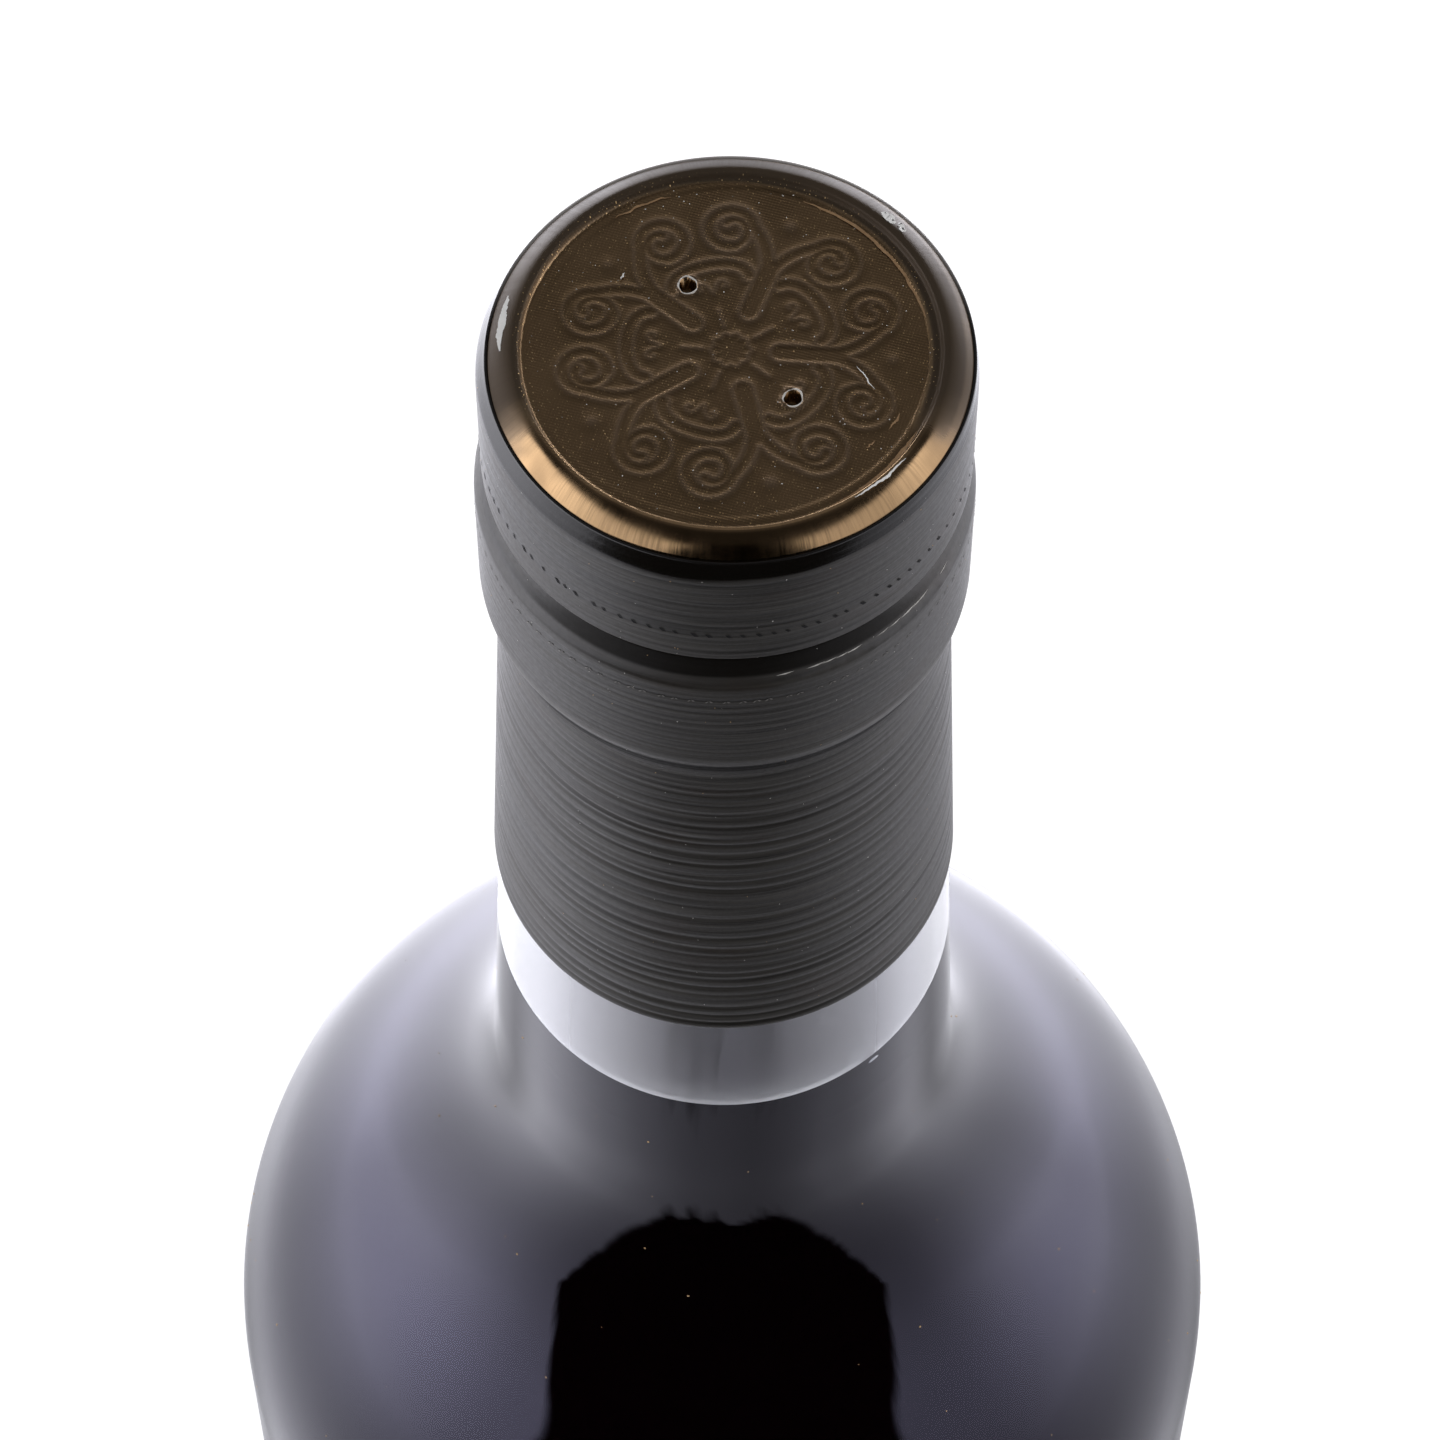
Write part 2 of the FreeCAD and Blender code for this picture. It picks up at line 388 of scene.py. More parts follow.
def make_glass():
    """The clear bottle. It leaves no image of itself in its own gloss, and nor does the drink."""
    outer = smoothed(side("glass_bottle"), 1.2 * MM)
    inner = smoothed(side("glass_bottle", outward=False), 1.2 * MM)[::-1]
    outline = np.vstack([[(0, 0)], [(outer[0][0] * 0.5, 0)], outer, inner,
                         [(inner[-1][0] * 0.5, inner[-1][1])], [(0, inner[-1][1])]])
    piece = turned("glass_bottle_clear", outline[:, 0], outline[:, 1], 256)
    piece.data.materials.append(finish_glass())
    piece.visible_glossy = False
    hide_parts("glass_bottle")
    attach(piece, "root")


def make_drink():
    """It reaches a little into the glass, and its surface climbs at the wall."""
    reach, climb, fade = 0.15 * MM, 1.3 * MM, 0.9 * MM
    wall = smoothed(side("drink"), 1.5 * MM)
    way = np.gradient(wall, axis=0)
    out = np.stack([way[:, 1], -way[:, 0]], axis=1)
    wall = wall + out / np.linalg.norm(out, axis=1)[:, None] * reach
    wall = wall[wall[:, 1] < drink_high.z - 0.3 * MM]
    rim = wall[-1][0]
    level = drink_high.z
    across = rim - np.concatenate([[0], np.geomspace(0.05 * MM, rim, 40)])
    surface = np.stack([across, level + climb * np.exp(-(rim - across) / fade)], axis=1)
    outline = np.vstack([[(0, wall[0][1])], wall, surface])
    piece = turned("drink_dark", outline[:, 0], outline[:, 1], 192)
    piece.data.materials.append(finish_drink("dark_spirit", 0.0, (0.0010, 0.0003, 0.0005)))
    # The drink's top surface is given a pale grey colour, which is painted light on it, and the lip where it
    # climbs the wall a paler grey still, a painted highlight.
    piece.data.materials.append(finish_drink("dark_spirit_surface_painted_light", 0.5, (0.15, 0.14, 0.165)))
    piece.data.materials.append(finish_drink("dark_spirit_lip_painted_highlight", 0.5, (0.46, 0.45, 0.48)))
    for face in piece.data.polygons:
        if face.normal.z > 0.05 and face.center.z > level - 0.1 * MM:
            face.material_index = 2 if face.center.z > level + 0.12 * MM else 1
    piece.visible_glossy = False
    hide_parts("drink")
    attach(piece, "root")
    return rim, level


def make_bubble():
    """A small bubble that clings to the wall at the drink's edge, coloured pale: a painted glint."""
    turn = math.radians(-43)
    centre = Vector(((drink_rim - 0.5 * MM) * math.cos(turn), (drink_rim - 0.5 * MM) * math.sin(turn),
                     drink_level + 0.45 * MM))
    t = np.linspace(0, math.pi / 2, 9)
    piece = turned("drink_bubble", 0.62 * MM * np.cos(t), 0.5 * MM * np.sin(t), 28)
    for vertex in piece.data.vertices:
        vertex.co = centre + vertex.co
    # The bubble's pale colour is a painted glint.
    piece.data.materials.append(finish_plain("bubble_painted_glint", (0.45, 0.46, 0.5), (0.85, 0.86, 0.9), 0.12))
    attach(piece, "root")


# ---------------------------------------------------------------- foil disc

STEM_TURN = -4.0           # bearing in degrees of one of the ornament's stems
FOLDS = 5


def arc_line(centre, start_radius, end_radius, start, end, count):
    """A round or spiral centre line, with bearings in degrees."""
    t = np.linspace(0, 1, count)
    turn = np.radians(start + (end - start) * t)
    radius = start_radius + (end_radius - start_radius) * t
    return np.stack([centre[0] + radius * np.cos(turn), centre[1] + radius * np.sin(turn)], axis=1)


def bend(*controls):
    """A Bezier curve."""
    t = np.linspace(0, 1, 24)[:, None]
    n = len(controls) - 1
    return sum(math.comb(n, i) * t ** i * (1 - t) ** (n - i) * np.array(p, float)
               for i, p in enumerate(controls))


def rosette_strokes():
    """(centre line, half width) pairs in mm for half a fold. X runs out along the fold's stem.
    A stroke with no width is a single raised line; the others are bands edged with one."""
    petal = 180 / FOLDS

    def polar(r, turn):
        return (r * math.cos(math.radians(turn)), r * math.sin(math.radians(turn)))

    scroll = (8.1, 3.27)
    landing = arc_line(scroll, 1.36, 1.36, -62.0, -60.0, 2)[0]
    return [
        (bend((2.95, 0), (4.6, 0), (6.4, 0)), 0.62),
        (bend((5.9, 0.12), (7.1, 0.35), (8.0, 1.0), landing), 0.40),
        (arc_line(scroll, 1.36, 1.27, -62.0, 215.0, 50), 0.40),
        (arc_line(scroll, 1.27, 0.5, 215.0, 410.0, 50), 0.33),
        (bend(polar(6.2, petal), polar(6.3, 26.0), polar(6.3, 15.0), polar(5.45, 10.5)), 0.40),
        (bend(polar(4.2, petal), polar(4.5, 33.0), polar(5.4, 33.0), polar(5.35, 24.0),
              polar(4.5, 22.0), polar(4.6, 27.5)), 0.0),
        (bend(polar(1.7, petal), polar(2.9, petal)), 0.0),
    ]


def rosette(r, turn):
    """Relief from 0 to 1 at distances r in mm and bearings turn in radians."""
    fold = 2 * math.pi / FOLDS
    folded = np.abs((turn - math.radians(STEM_TURN) + fold / 2) % fold - fold / 2)
    spots = np.stack([r * np.cos(folded), r * np.sin(folded)], axis=-1)
    bands = np.full(spots.shape[:-1], 1e9)
    lines = np.full(spots.shape[:-1], 1e9)
    for centre_line, half_width in rosette_strokes():
        nearest = np.full(bands.shape, 1e9)
        for a, d in zip(centre_line[:-1], np.diff(centre_line, axis=0)):
            t = np.clip(((spots - a) @ d) / max(d @ d, 1e-12), 0, 1)
            nearest = np.minimum(nearest, np.linalg.norm(spots - a - t[..., None] * d, axis=-1))
        if half_width:
            bands = np.minimum(bands, nearest - half_width)
        else:
            lines = np.minimum(lines, nearest)
    lines = np.minimum(lines, np.abs(r - 1.15 - 0.07 * np.cos(10 * turn)))
    knob = np.exp(-((np.hypot(spots[..., 0] - 9.6, spots[..., 1])) / 0.5) ** 2)
    edges = np.exp(-(bands / 0.27) ** 2) - 0.35 * (1 - smoothstep(bands, -0.3, 0.0))
    return np.maximum(np.maximum(edges, knob), np.exp(-(lines / 0.25) ** 2))


def waves(turn, seed, lows=2, highs=9):
    """Smooth, seeded unevenness round the axis, about -1 to 1."""
    rng = np.random.default_rng(RANDOM_SEED + seed)
    total = sum(rng.normal() / (k - lows + 1.5) * np.cos(k * turn + rng.uniform(0, 6.3))
                for k in range(lows, highs))
    return total / 1.2


def foil_surface(r, turn):
    """Height in mm of the foil above the rim's crest at distances r in mm and bearings turn: the floor
    with its ornament, a low step near its edge, the rim, and the vents with their raised lips."""
    crest_radius, bevel_width = 12.95, 1.45
    floor = -FLOOR_DROP + 0.07 * rosette(r, turn) + 0.012 * waves(turn, 1) * smoothstep(r, 2, 11)
    step = 11.75 + 0.08 * waves(turn, 2)
    strength = 0.5 + 0.5 * np.cos(turn - math.radians(10))
    floor = floor + (0.015 + 0.11 * strength ** 2) * smoothstep(r, step - 0.16, step + 0.16)
    floor = floor - 0.05 * strength * smoothstep(r, step + 0.25, step + 0.6)
    rim = np.interp(r, [12.4, 12.6, crest_radius], [-0.38, -0.06, 0.0])
    rim = rim - 1.05 * (np.clip(r - crest_radius, 0, None) / bevel_width) ** 1.35
    height = floor + (rim - floor) * smoothstep(r, 12.3 + 0.07 * waves(turn, 3), 12.65)
    for distance, bearing in VENTS:
        centre = math.radians(bearing)
        away = np.hypot(r * np.cos(turn) - distance * math.cos(centre),
                        r * np.sin(turn) - distance * math.sin(centre))
        height = height - 1.0 * (1 - smoothstep(away, 0.42, 0.56))
        height = height + 0.06 * np.exp(-((away - 0.68) / 0.14) ** 2)
    return height


def make_foil():
    """The embossed disc, closed underneath."""
    radii = np.concatenate([np.linspace(0.05, 11.3, 96), np.linspace(11.4, FOIL_RADIUS / MM, 40)])
    segments = 540
    turn = np.arange(segments) * 2 * math.pi / segments
    r, t = np.meshgrid(radii, turn, indexing="ij")
    heights = CREST + foil_surface(r, t) * MM
    piece = turned("foil_disc_embossed",
                   np.vstack([np.zeros((1, segments)), np.full((1, segments), FOIL_RADIUS), r[::-1] * MM]),
                   np.vstack([np.full((2, segments), foil_low.z), heights[::-1]]), segments)
    piece.data.materials.append(finish_foil())
    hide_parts("foil_disc")
    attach(piece, "root")
    return piece


# ---------------------------------------------------------------- sleeve

def grooves(drop, turn):
    """Depth in mm of the fine rings round the sleeve, at drop mm below the crest."""
    rng = np.random.default_rng(RANDOM_SEED + 20)
    depth = np.zeros(drop.shape)
    at = 3.0
    while at < 57.0:
        on_skirt = smoothstep(at, 26.0, 34.0)
        width = rng.uniform(0.10, 0.17) + rng.uniform(0.0, 0.14) * on_skirt
        deep = rng.uniform(0.008, 0.024) + on_skirt * rng.uniform(0.02, 0.11)
        line = at + 0.12 * waves(turn, int(at * 10), 1, 4)
        strong = np.clip(0.65 + 0.45 * waves(turn, int(at * 10) + 5, 1, 6), 0.1, 1.3)
        depth += deep * strong * np.exp(-((drop - line) / width) ** 2)
        at += rng.uniform(0.45, 0.8) + on_skirt * rng.uniform(0.1, 0.75)
    return depth


def make_sleeve():
    """The shrunk sleeve, with its fine rings. Returns the piece, and its side's drops in mm and radii."""
    segments = 360
    outer = smoothed(side("capsule_sleeve"), 0.14 * MM, sharp=1.0)
    turn = np.arange(segments) * 2 * math.pi / segments
    kernel = np.exp(-np.linspace(-2.5, 2.5, 9) ** 2 / 2)
    padded = np.pad(outer[:, 0], 4, mode="reflect", reflect_type="odd")
    radius = np.convolve(padded, kernel / kernel.sum(), mode="valid")
    drop = (CREST - outer[:, 1]) / MM
    d, t = np.meshgrid(drop, turn, indexing="ij")
    from_front = np.degrees((t + math.pi / 2 + math.pi) % (2 * math.pi) - math.pi)
    crinkled = smoothstep(from_front, 8, 20) * (1 - smoothstep(from_front, 55, 75))
    ripple = 0.05 * waves(t * 16, 31, 1, 9) * crinkled * np.exp(-((d - 13.75) / 0.22) ** 2)
    out = radius[:, None] / MM - grooves(d, t) + ripple
    inner = side("capsule_sleeve", outward=False)[::-1]
    rows = np.vstack([out, np.repeat([[r / MM] for r, z in inner], segments, axis=1), out[:1]]) * MM
    heights = np.concatenate([outer[:, 1], [z for r, z in inner], outer[:1, 1]])
    piece = turned("capsule_sleeve_shrunk", rows, heights, segments)
    piece.data.materials.append(finish_sleeve())
    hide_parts("capsule_sleeve")
    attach(piece, "root")
    return piece, drop[::-1], radius[::-1]


def lean(z):
    """How far to the right the head sits, in metres, at height z: the stopper isn't quite in line."""
    drop = (CREST - np.asarray(z)) / MM
    return MM * (0.12 * (1 - smoothstep(drop, 11.5, 14.0)) + 0.2 * (1 - smoothstep(drop, 0.9, 2.2)))


def lean_piece(piece):
    for vertex in piece.data.vertices:
        vertex.co.x += float(lean(vertex.co.z))


def on_sleeve(drop, bearing, lift=0.0):
    """The point drop mm below the crest on the sleeve's side, lift mm off it."""
    r = float(np.interp(drop, sleeve_drop, sleeve_radius)) + lift * MM
    z = CREST - drop * MM
    return Vector((r * math.cos(bearing) + float(lean(z)), r * math.sin(bearing), z))


def make_perforations_and_glints():
    """Two rows of cut ticks round the sleeve, slanted slits above and small chevrons below, and the
    painted glints, pale strips along the ring's crinkled upper edge."""
    count = 100
    across = 15.2              # mm from the axis to the sleeve's side
    glints_from, glints_to = 280, 333
    looks = {"slits": (8.4, (0.0015, 0.0012, 0.001), (0.003, 0.0025, 0.002), 0.8),
             "chevrons": (15.4, (0.11, 0.103, 0.097), (0.20, 0.19, 0.18), 0.5),
             # glints are painted glints: pale strips where light catches the crinkled edge.
             "glints": (13.4, (0.40, 0.38, 0.36), (0.90, 0.88, 0.85), 0.4)}
    for name, (drop, dark, light, roughness) in looks.items():
        rng = np.random.default_rng(RANDOM_SEED + len(name))
        verts, faces = [], []
        for k in range(count):
            bearing = 2 * math.pi * (k + 0.12 * rng.normal()) / count
            size = rng.uniform(0.8, 1.15)
            if name == "glints" and (not glints_from < math.degrees(bearing) < glints_to
                                     or rng.uniform() < 0.3):
                continue
            if name == "slits":
                line = [(-0.24, 0.16), (0.24, -0.14)]
                thick = 0.16
            elif name == "glints":
                line = [(-0.75 * size, 0.0), (0.55, 0.05)]
                thick = 0.028 * size
            else:
                line = [(-0.28, -0.10), (-0.02, 0.12), (0.22, 0.02)]
                thick = 0.08
            for (u0, v0), (u1, v1) in zip(line, line[1:]):
                base = len(verts)
                for u, v, w in ((u0, v0, 0), (u1, v1, 0), ((u0 + u1) / 2, (v0 + v1) / 2, thick),
                                ((u0 + u1) / 2, (v0 + v1) / 2, -thick)):
                    lift = 0.03 if w else 0.012
                    verts.append(on_sleeve(drop - (v + w) * size, bearing + u * size / across, lift))
                faces += [(base, base + 3, base + 1), (base, base + 1, base + 2)]
        piece = new_object("sleeve_" + name, verts, faces, smooth=False)
        piece.data.materials.append(finish_plain("cut_film_and_glint_" + name, dark, light, roughness))
        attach(piece, "root")


def colour_stopper():
    """The stopper's head keeps its shape from the frame. Only its top is seen, through a vent."""
    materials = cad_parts["stopper_head"].data.materials
    materials.clear()
    materials.append(finish_plain("copper_brown_stopper", (0.45, 0.19, 0.06), (0.80, 0.40, 0.15), 0.35))


# ---------------------------------------------------------------- small marks

def on_foil(r, bearing, lift=0.0):
    """The point on the foil at r mm from its axis and a bearing in degrees, lift mm above it."""
    turn = math.radians(bearing)
    z = CREST + (float(foil_surface(np.array([r]), np.array([turn]))[0]) + lift) * MM
    return Vector((r * MM * math.cos(turn) + float(lean(z)), r * MM * math.sin(turn), z))


def make_vent_rims():
    """The torn film round each vent: a thin, crumpled pale ring."""
    rng = np.random.default_rng(RANDOM_SEED + 60)
    verts, faces = [], []
    around, tube = 40, 6
    for distance, bearing in VENTS:
        middle = on_foil(distance - 1.2, bearing)
        centre = Vector((distance * MM * math.cos(math.radians(bearing)) + float(lean(CREST)),
                         distance * MM * math.sin(math.radians(bearing)), middle.z + 0.06 * MM))
        base = len(verts)
        phases = rng.uniform(0, 6.3, 4)
        for i in range(around):
            turn = 2 * math.pi * i / around
            wobble = sum(math.cos(k * turn + p) / k for k, p in zip((2, 3, 5, 7), phases))
            ring = (0.60 + 0.05 * wobble) * MM
            thick = (0.055 + 0.02 * math.cos(3 * turn + phases[0])) * MM
            for k in range(tube):
                lap = 2 * math.pi * k / tube
                out = ring + thick * math.cos(lap)
                verts.append(centre + Vector((out * math.cos(turn), out * math.sin(turn),
                                              thick * math.sin(lap) + 0.03 * MM * wobble)))
        faces += [(base + i * tube + k, base + (i + 1) % around * tube + k,
                   base + (i + 1) % around * tube + (k + 1) % tube, base + i * tube + (k + 1) % tube)
                  for i in range(around) for k in range(tube)]
    piece = new_object("foil_vent_rims", verts, faces)
    piece.data.materials.append(
        finish_plain("torn_film", (0.45, 0.42, 0.38), (0.85, 0.83, 0.80), 0.35, 4000.0))
    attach(piece, "root")


def ribbon(points, widths, verts, faces):
    """Adds a thin flat strip, lying level, along points. widths are in metres."""
    base = len(verts)
    for i, p in enumerate(points):
        ahead = points[min(i + 1, len(points) - 1)] - points[max(i - 1, 0)]
        beside = Vector((-ahead.y, ahead.x, 0)).normalized() * widths[i] / 2
        verts += [p + beside, p - beside]
    faces += [(base + 2 * i, base + 2 * i + 1, base + 2 * i + 3, base + 2 * i + 2)
              for i in range(len(points) - 1)]


def make_scuffs_and_highlights():
    """A scratch and a scuff on the disc, pale painted glints on the rim, and painted highlights: short bronze
    arcs on the disc and along the rim's step and inner edge.
    A mark is its radii in mm and its bearings in degrees at its two ends, and its width in mm."""
    rng = np.random.default_rng(RANDOM_SEED + 70)
    # pale: a scratch and a scuff on the disc, and on the rim painted glints, pale strips where light catches
    # it.
    pale = [(13.75, 13.7, 164, 181, 0.42), (13.2, 13.25, 42.0, 47.0, 0.5), (13.3, 13.6, 38.5, 42.0, 0.3),
            (7.5, 8.9, -9, -18.5, 0.07), (8.4, 8.3, 139, 142.5, 0.08), (12.95, 12.9, -38, -56, 0.16)]
    # These bronze arcs are painted highlights, where light catches the step, the rim's inner edge and the
    # disc.
    painted_highlight = [(11.75, 11.65, 12, 68, 0.30), (12.35, 12.45, -28, -62, 0.28), (11.7, 11.8, 108, 126, 0.14),
            (10.9, 10.8, -24, -31, 0.12), (10.6, 10.5, -37, -41, 0.10)]
    count = 40
    t = np.linspace(0, 1, count)
    for name, marks, lift, dark, light, rough in (
            ("pale", pale, 0.14, (0.90, 0.89, 0.88), (0.98, 0.98, 0.98), 0.4),
            ("painted_highlight", painted_highlight, 0.03, (0.20, 0.11, 0.05), (0.42, 0.26, 0.13), 0.35)):
        verts, faces = [], []
        for r0, r1, turn0, turn1, width in marks:
            wobble = 0.04 * np.convolve(rng.normal(size=count + 6), np.ones(7) / 3, mode="valid")
            points = [on_foil(r0 + (r1 - r0) * k + w, turn0 + (turn1 - turn0) * k, lift)
                      for k, w in zip(t, wobble)]
            swell = np.sin(np.pi * np.clip(t, 0.02, 0.98)) ** 0.6 * (0.8 + 6 * np.abs(wobble))
            ribbon(points, swell * width * MM, verts, faces)
        piece = new_object("foil_scuffs_and_glints_" + name, verts, faces)
        piece.data.materials.append(finish_plain("scuff_and_glint_" + name, dark, light, rough, 3000.0))
        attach(piece, "root")


def make_dust():
    """Fine dust: pale specks on the foil and the sleeve, and a few gold ones on the glass."""
    rng = np.random.default_rng(RANDOM_SEED + 80)
    glass = smoothed(side("glass_bottle"), 3 * MM)
    verts, faces = {"pale": [], "gold": []}, {"pale": [], "gold": []}

    def speck(kind, centre, normal, size):
        across = normal.orthogonal().normalized()
        up = normal.cross(across)
        base, corners = len(verts[kind]), 5
        spin = rng.uniform(0, 6.3)
        for k in range(corners):
            turn = spin + 2 * math.pi * k / corners
            reach = size * rng.uniform(0.7, 1.3)
            verts[kind].append(centre + across * reach * math.cos(turn) + up * reach * math.sin(turn))
        verts[kind].append(centre + normal * size * 0.7)
        faces[kind].extend((base + k, base + (k + 1) % corners, base + corners) for k in range(corners))

    for _ in range(230):
        r, bearing = 12.2 * math.sqrt(rng.uniform()), rng.uniform(0, 360)
        kind = "gold" if rng.uniform() < 0.35 else "pale"
        speck(kind, on_foil(r, bearing, 0.01), Vector((0, 0, 1)), rng.uniform(0.018, 0.045) * MM)
    for _ in range(420):
        drop, turn = 1.8 + 54 * rng.uniform() ** 1.3, rng.uniform(0, 2 * math.pi)
        kind = "gold" if rng.uniform() < 0.25 else "pale"
        speck(kind, on_sleeve(drop, turn), Vector((math.cos(turn), math.sin(turn), 0)),
              rng.uniform(0.018, 0.042) * MM)
    for _ in range(110):
        z, turn = glass_high.z - rng.uniform(0.06, 0.14), rng.uniform(0, 2 * math.pi)
        r = float(np.interp(z, glass[:, 1], glass[:, 0]))
        speck("gold", Vector((r * math.cos(turn), r * math.sin(turn), z)),
              Vector((math.cos(turn), math.sin(turn), 0.3)).normalized(), rng.uniform(0.03, 0.10) * MM)
    for kind, dark, light in (("pale", (0.5, 0.48, 0.46), (0.9, 0.88, 0.85)),
                              ("gold", (0.45, 0.27, 0.10), (0.8, 0.55, 0.28))):
        piece = new_object("dust_" + kind, verts[kind], faces[kind], smooth=False)
        piece.data.materials.append(finish_plain("dust_" + kind, dark, light, 0.5, 2000.0))
        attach(piece, "root")


# ---------------------------------------------------------------- stage, light and camera

WINDOW, CEILING = 1.5, 0.04     # how bright gloss sees the windows and the ceiling
PLAIN_LIGHT = 0.5               # level of the light that falls on the object from all round


def soft_light(s, x, y, rise):
    """What gloss sees low down, on the floor and the walls: dim in front, and more so on the right,
    brighter round the sides and behind, above all near eye level, but darker steeply down behind and
    straight behind."""
    turn = s.bearing(x, y)
    aside = s.math("ABSOLUTE", turn)
    right = s.ramp_turn(turn, -45, 45)
    away = s.math("SUBTRACT", aside, s.math("MULTIPLY", right, math.radians(10)))
    front = s.ramp(right, 0.0, 1.0, 0.74, 0.46)
    side_wall = s.math("MULTIPLY", s.ramp_turn(away, 42, 92), s.ramp(right, 0.0, 1.0, 0.60, 0.40))
    back_wall = s.math("MULTIPLY", s.ramp_turn(aside, 138, 162, 0.0, 0.9), s.ramp_turn(rise, -58, -46))
    walls = s.math("ADD", s.math("ADD", front, side_wall), back_wall)
    rising = s.ramp_turn(rise, -30, 20, 1.0, 2.5)
    lower = s.math("ADD", rise, s.ramp_turn(aside, 140, 158, 0.0, math.radians(6)))
    beneath = s.math("MULTIPLY", s.ramp_turn(aside, 95, 125), s.ramp_turn(lower, -38, -58))
    steep = s.math("SUBTRACT", 1.0, s.math("MULTIPLY", beneath, 0.62))
    horizon = s.math("ADD", s.ramp_turn(away, 50, 95, 0.0, 1.4), s.ramp_turn(aside, 108, 152, 0.0, 6.4))
    depth = s.math("MINIMUM", s.math("ADD", rise, math.radians(3)), 0.0)
    fading = s.math("POWER", math.e, s.math("DIVIDE", depth, math.radians(15)))
    level = s.math("ADD", s.product(walls, rising, steep), s.math("MULTIPLY", horizon, fading))
    return s.math("MULTIPLY", level, s.ramp_turn(aside, 160, 178, 1.0, 0.25))


def floor_stage():
    """A white floor, which keeps the bottle's shadow. Gloss sees it by its direction from the shoulder."""
    size, shoulder_height, own_light = 1.6, 0.2, 0.5
    floor = new_object("floor", [(-size, -size, 0), (size, -size, 0), (size, size, 0), (-size, size, 0)],
                       [(0, 1, 2, 3)], smooth=False)
    s = Shader("white_floor")
    s.tree.nodes.remove(s.bsdf)
    path = s.add("LightPath").outputs
    x, y, _ = s.axes()
    shine = soft_light(s, x, y, s.math("ARCTAN2", -shoulder_height, s.distance(x, y)))
    seen = s.math("MAXIMUM", path["Is Camera Ray"], path["Is Transmission Ray"])
    paper = s.add("BsdfDiffuse", {"Color": (0.82, 0.82, 0.83, 1)})
    lift = s.add("Emission", {"Color": (1, 1, 1, 1), "Strength": s.math("MULTIPLY", seen, own_light)})
    both = s.add("AddShader", {0: paper.outputs[0], 1: lift.outputs[0]})
    gloss = s.add("Emission", {"Color": (*DAYLIGHT, 1), "Strength": shine})
    shown = s.add("MixShader", {0: path["Is Glossy Ray"], 1: both.outputs[0], 2: gloss.outputs[0]})
    s.tree.links.new(shown.outputs[0], s.tree.nodes["Material Output"].inputs["Surface"])
    floor.data.materials.append(s.material)


def dark_card():
    """The dark side of the room, in front: it is only seen in the gloss of the object. It lies on the
    floor, turns up at its far side, and fades out at its edges. Round the bottle's foot it is a half-clear
    painted shadow of the bottle."""
    near, wall, top = -0.09, -0.45, 0.78
    floor_run = near - wall
    path = np.linspace(0, floor_run + top, 150)
    across = np.linspace(-0.68, 0.68, 171)
    a, u = np.meshgrid(path, across, indexing="ij")
    rng = np.random.default_rng(RANDOM_SEED + 50)
    ragged = 0.005 * sum(rng.normal() * np.cos(k * 24 * u + rng.uniform(0, 6.3)) / k ** 0.7
                         for k in range(1, 11))
    half = np.interp(a, [0.060, 0.10, floor_run, floor_run + 0.45, floor_run + 0.75],
                     [0.08, 0.15, 0.60, 0.41, 0.16])
    middle = 0.05 * smoothstep(a, floor_run + 0.45, floor_run + 0.75)
    edge = np.abs(u - middle) - half - ragged
    out = np.hypot(u, near - a)
    solid = (1 - smoothstep(edge, -0.03, 0.02)) * smoothstep(out + ragged, 0.157, 0.173)
    # Painted shadow: a half-clear dark patch round the bottle's foot, where the bottle shades the floor in
    # front of it.
    aside = np.degrees(np.arctan2(np.abs(u), a - near))
    painted_shadow = 0.5 * (1 - smoothstep(aside, 10, 60)) * smoothstep(a, 0, 0.03)
    cover = np.maximum(solid, painted_shadow * (a < floor_run))
    verts = [(x, max(near - s, wall), 0.002 + max(0.0, s - floor_run)) for s, x in zip(a.ravel(), u.ravel())]
    rows, columns = a.shape
    faces = [(i * columns + k, i * columns + k + 1, (i + 1) * columns + k + 1, (i + 1) * columns + k)
             for i in range(rows - 1) for k in range(columns - 1)]
    card = new_object("dark_card", verts, faces, smooth=False)
    card.data.attributes.new("cover", "FLOAT", "POINT").data.foreach_set("value", cover.ravel())
    s = Shader("black_card")
    s.tree.nodes.remove(s.bsdf)
    black = s.add("BsdfDiffuse", {"Color": (0, 0, 0, 1)})
    clear = s.add("BsdfTransparent")
    share = s.add("Attribute", attribute_name="cover").outputs["Fac"]
    shown = s.add("MixShader", {0: share, 1: clear.outputs[0], 2: black.outputs[0]})
    s.tree.links.new(shown.outputs[0], s.tree.nodes["Material Output"].inputs["Surface"])
    card.data.materials.append(s.material)
    for ray in ("camera", "diffuse", "transmission", "volume_scatter", "shadow"):
        setattr(card, "visible_" + ray, False)


def lamp(name, bearing, distance, height, width, tall, radiance):
    """A soft box that faces the bottle. bearing is in degrees from the front, to the right."""
    data = bpy.data.lights.new(name, "AREA")
    data.shape, data.size, data.size_y = "RECTANGLE", width, tall
    data.energy = radiance * math.pi * width * tall
    light = bpy.data.objects.new(name, data)
    turn = math.radians(bearing)
    light.location = (distance * math.sin(turn), -distance * math.cos(turn), height)
    aim = Vector((0, 0, 0.22)) - light.location
    light.rotation_euler = aim.to_track_quat("-Z", "Y").to_euler()
    light.visible_camera = False
    light.visible_glossy = False
    bpy.context.scene.collection.objects.link(light)


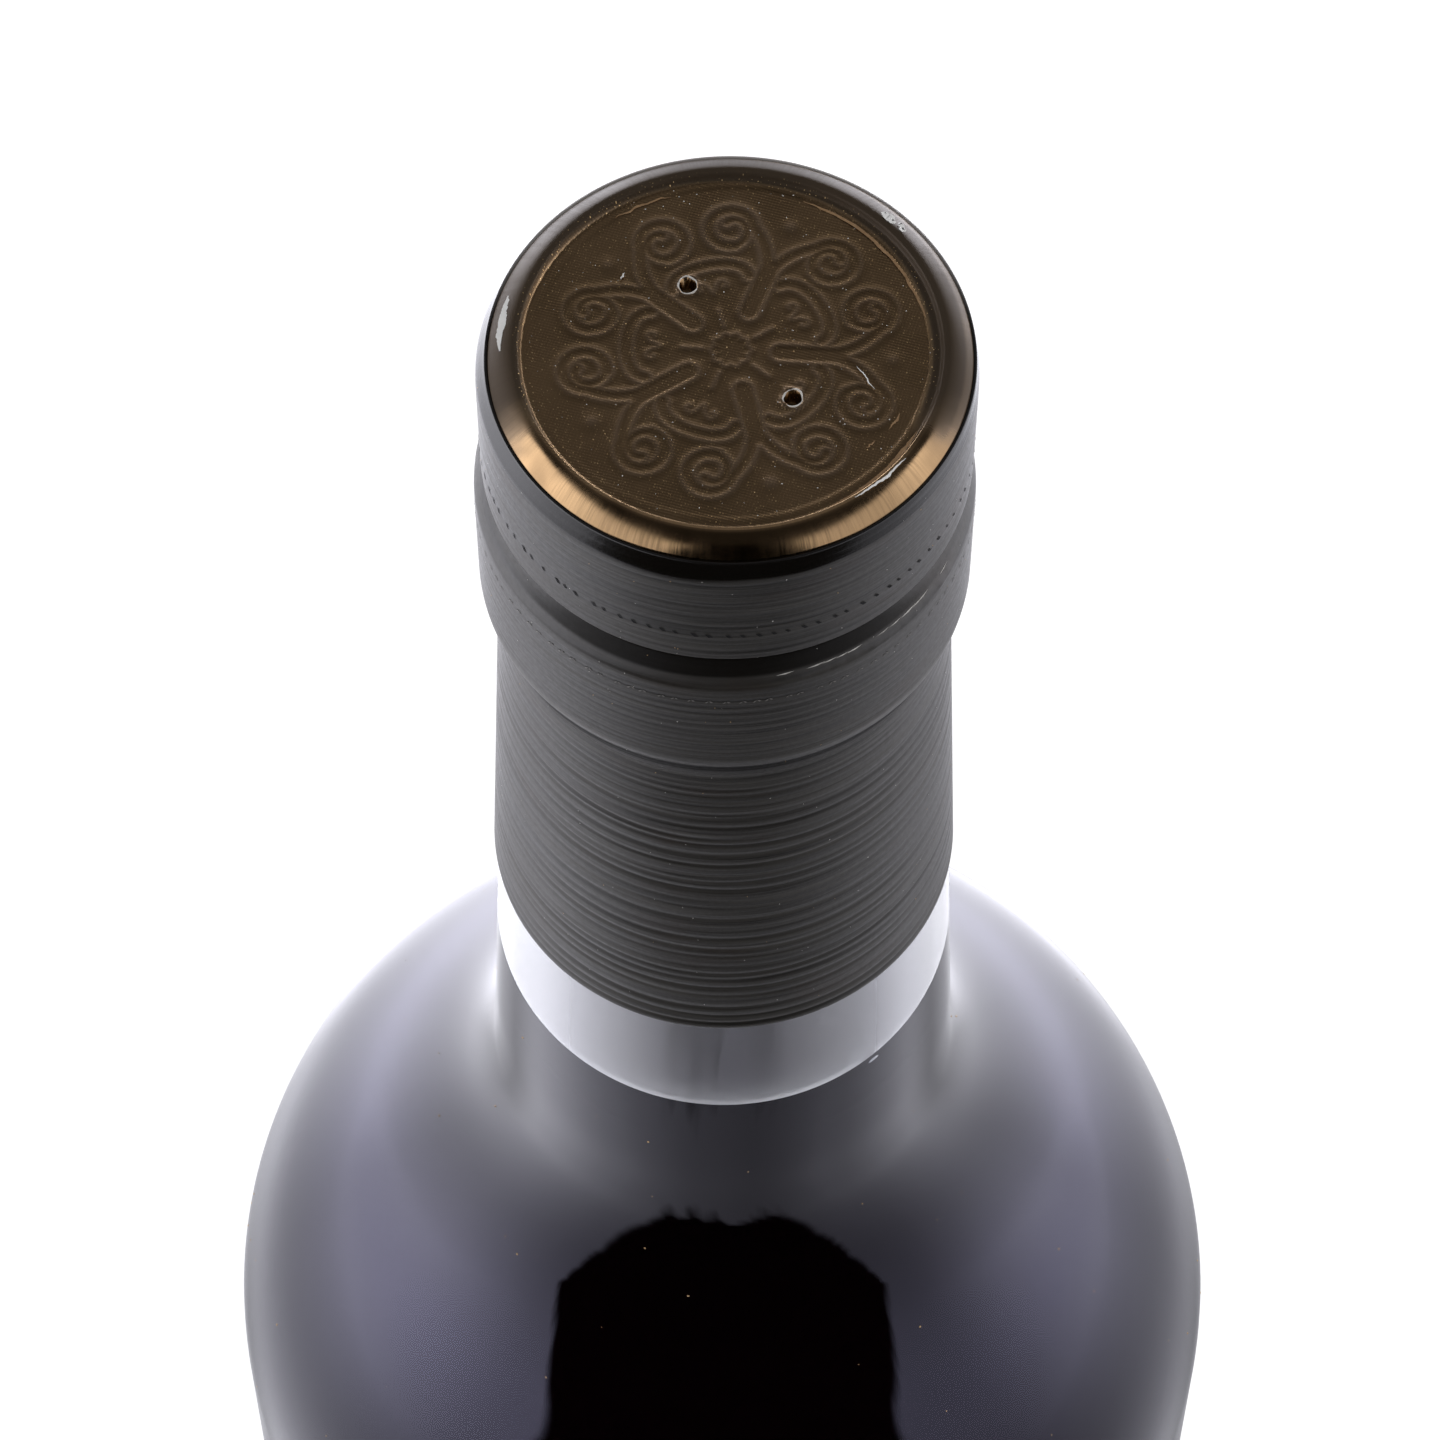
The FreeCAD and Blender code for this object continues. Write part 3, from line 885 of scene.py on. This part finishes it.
def world_light():
    """White for the camera and through glass, and a plain level for light. Gloss sees the soft light low
    down, windows over it all round but in front, a dark ceiling over them, which comes lower behind, and
    a faint glow far behind."""
    world = bpy.data.worlds.new("studio")
    bpy.context.scene.world = world
    world.use_nodes = True
    s = Nodes(world.node_tree)
    s.tree.nodes.clear()
    x, y, z = s.add("SeparateXYZ", {0: s.add("TexCoord").outputs["Generated"]}).outputs
    rise = s.math("ARCSINE", z)
    aside = s.aside(x, y)
    low = soft_light(s, x, y, rise)
    top = s.ramp_turn(aside, 95, 119, math.radians(42), math.radians(6))
    under = s.ramp_turn(s.math("SUBTRACT", top, rise), -4, 4)
    window = s.product(s.ramp_turn(rise, 18, 25), s.ramp_turn(aside, 18, 30), WINDOW)
    lit = s.math("MULTIPLY", s.math("MAXIMUM", low, window), under)
    glow = s.product(s.ramp_turn(aside, 145, 170, 0.0, 0.3), s.ramp_turn(rise, 12, 22),
                     s.ramp_turn(rise, 50, 36))
    ceiling = s.math("ADD", CEILING, s.ramp(y, -0.35, 0.35, 0.0, 0.09))
    gloss = s.math("ADD", lit, s.math("ADD", glow, ceiling))
    path = s.add("LightPath").outputs
    plain = s.add("Mix", {0: path["Is Glossy Ray"], 2: PLAIN_LIGHT, 3: gloss}).outputs[0]
    seen = s.math("MAXIMUM", path["Is Camera Ray"], path["Is Transmission Ray"])
    shown = s.add("Mix", {0: seen, 2: plain, 3: 1.0}).outputs[0]
    sky = s.add("Background", {"Strength": shown, "Color": s.cool(path["Is Glossy Ray"])})
    s.tree.links.new(sky.outputs[0], s.add("OutputWorld").inputs[0])


def camera():
    data = bpy.data.cameras.new("camera")
    data.lens, data.sensor_width = 137.5, 36.0
    eye = bpy.data.objects.new("camera", data)
    aim = Vector((-0.27 * MM, 0, CREST - 43.65 * MM))
    elevation, distance = math.radians(59.57), 0.3625
    eye.location = aim + distance * Vector((0, -math.cos(elevation), math.sin(elevation)))
    tilt = Matrix.Rotation(math.pi / 2 - elevation, 3, "X") @ Matrix.Rotation(math.radians(0.12), 3, "Z")
    eye.rotation_euler = tilt.to_euler()
    bpy.context.scene.collection.objects.link(eye)
    bpy.context.scene.camera = eye


make_glass()
drink_rim, drink_level = make_drink()
make_bubble()
lean_piece(make_foil())
sleeve, sleeve_drop, sleeve_radius = make_sleeve()
lean_piece(sleeve)
make_perforations_and_glints()
make_vent_rims()
make_scuffs_and_highlights()
make_dust()
colour_stopper()

floor_stage()
dark_card()
lamp("left_box", -104, 0.75, 0.32, 0.75, 0.55, 2.4)
lamp("right_box", 108, 0.75, 0.32, 0.70, 0.55, 2.2)
world_light()
camera()
bpy.context.scene.view_settings.view_transform = "Standard"
